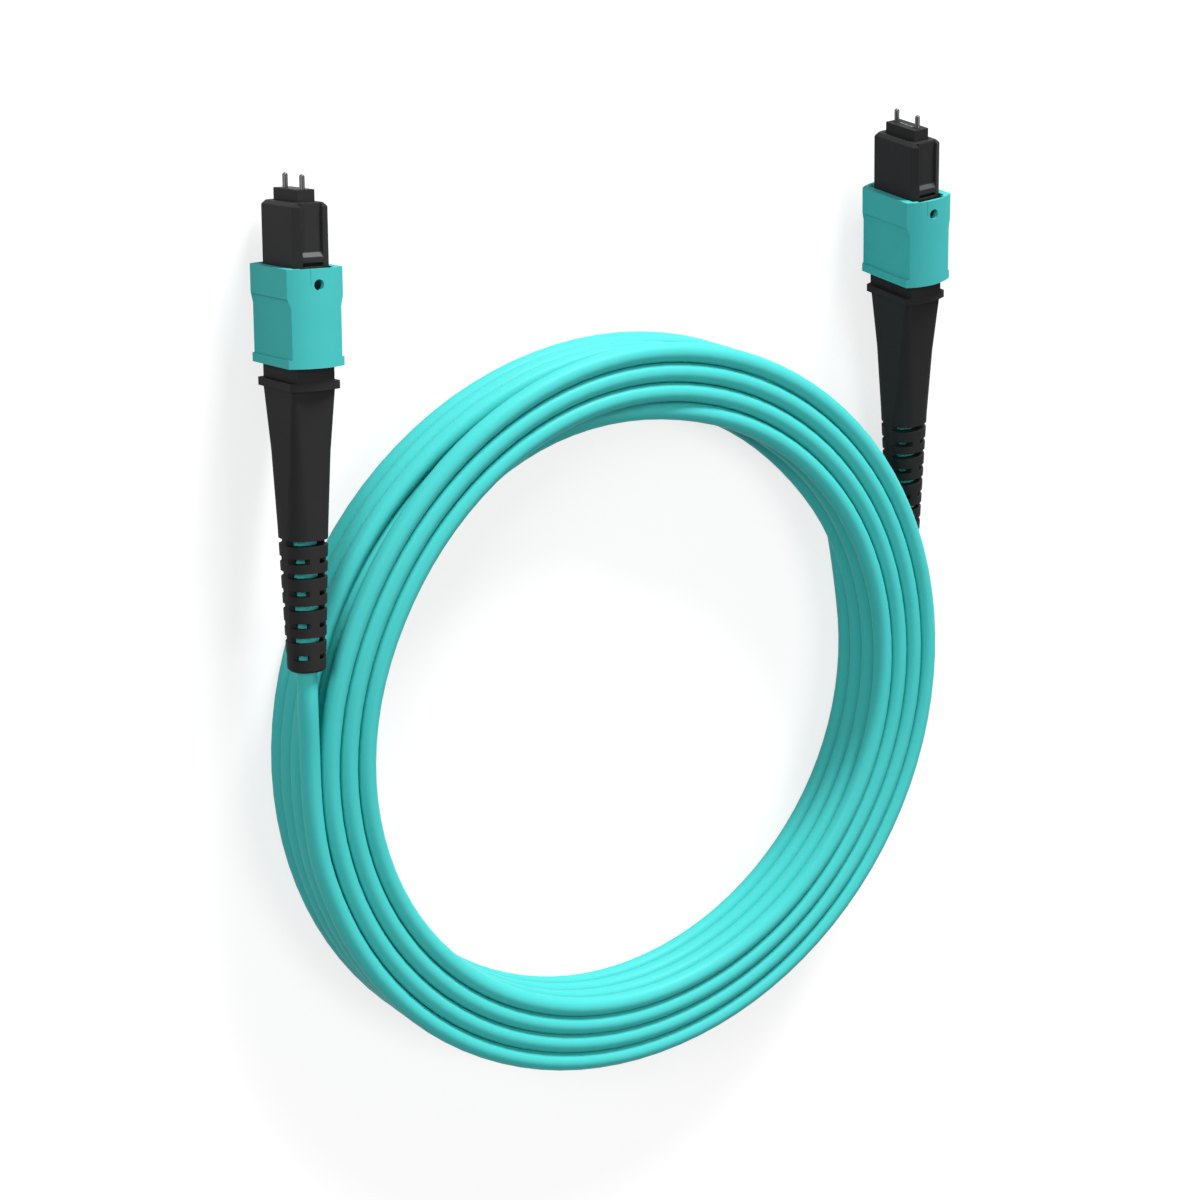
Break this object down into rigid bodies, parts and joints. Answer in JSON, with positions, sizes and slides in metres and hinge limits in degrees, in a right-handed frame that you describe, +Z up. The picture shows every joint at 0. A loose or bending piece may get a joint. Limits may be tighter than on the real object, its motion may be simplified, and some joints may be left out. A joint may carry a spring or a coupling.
{
  "type": "multi-fibre push-on connector patch cord",
  "caption": "Multi-fibre push-on plug with guide pins, pull-back coupling sleeve and slotted strain-relief boot, on a coiled patch cord with a like plug at its far end.",
  "frame": {"origin": "on the supporting surface, under the centre of plug a's bounding box", "axes": "+Y the way plug a points, +Z up, +X towards the coil"},
  "size_m": [0.1095, 0.1348, 0.0136],
  "materials": {
    "ferrule_resin": "fine satin moulded resin",
    "pin_steel": "polished steel",
    "keeper_steel": "brushed",
    "grommet_rubber": "soft matte",
    "fibre_ribbon": "satin",
    "spring_steel": "drawn wire",
    "housing_black": "satin moulded plastic",
    "sleeve_aqua": "satin moulded plastic",
    "crimp_metal": "satin",
    "boot_black": "matte elastomer",
    "jacket_aqua": "semi-gloss cable jacket"
  },
  "bodies": {
    "patch_cord": {"coil": "jacket_aqua", "a_lead": "jacket_aqua", "b_lead": "jacket_aqua", "a_ferrule_spring": "spring_steel", "a_inner_housing": "housing_black", "a_coupling_spring_upper": "spring_steel", "a_coupling_spring_lower": "spring_steel", "a_crimp_body": "housing_black", "a_crimp_ring": "crimp_metal", "a_strain_boot": "boot_black", "a_cable_tail": "jacket_aqua", "b_ferrule_spring": "spring_steel", "b_inner_housing": "housing_black", "b_coupling_spring_upper": "spring_steel", "b_coupling_spring_lower": "spring_steel", "b_crimp_body": "housing_black", "b_crimp_ring": "crimp_metal", "b_strain_boot": "boot_black", "b_cable_tail": "jacket_aqua"},
    "a_ferrule_unit": {"a_ferrule": "ferrule_resin", "a_guide_pin_left": "pin_steel", "a_guide_pin_right": "pin_steel", "a_pin_keeper": "keeper_steel", "a_grommet": "grommet_rubber", "a_fibre_ribbon": "fibre_ribbon"},
    "a_sleeve_unit": {"a_coupling_sleeve": "sleeve_aqua"},
    "b_ferrule_unit": {"b_ferrule": "ferrule_resin", "b_guide_pin_left": "pin_steel", "b_guide_pin_right": "pin_steel", "b_pin_keeper": "keeper_steel", "b_grommet": "grommet_rubber", "b_fibre_ribbon": "fibre_ribbon"},
    "b_sleeve_unit": {"b_coupling_sleeve": "sleeve_aqua"}
  },
  "joints": [
    {"name": "a_sleeve_pull", "type": "slide", "parent": "patch_cord", "child": "a_sleeve_unit", "axis": [0, -0.9974, 0.0717], "range_m": [0, 0.0017], "stiffness_N_per_m": 600, "springref_m": -0.002, "deforming": ["a_coupling_spring_upper", "a_coupling_spring_lower"]},
    {"name": "a_ferrule_float", "type": "slide", "parent": "patch_cord", "child": "a_ferrule_unit", "axis": [0, -0.9974, 0.0717], "range_m": [0, 0.001], "stiffness_N_per_m": 2000, "springref_m": -0.004, "deforming": ["a_ferrule_spring"]},
    {"name": "b_sleeve_pull", "type": "slide", "parent": "patch_cord", "child": "b_sleeve_unit", "axis": [0.1372, -0.9861, -0.0941], "range_m": [0, 0.0017], "stiffness_N_per_m": 600, "springref_m": -0.002, "deforming": ["b_coupling_spring_upper", "b_coupling_spring_lower"]},
    {"name": "b_ferrule_float", "type": "slide", "parent": "patch_cord", "child": "b_ferrule_unit", "axis": [0.1372, -0.9861, -0.0941], "range_m": [0, 0.001], "stiffness_N_per_m": 2000, "springref_m": -0.004, "deforming": ["b_ferrule_spring"]}
  ]
}
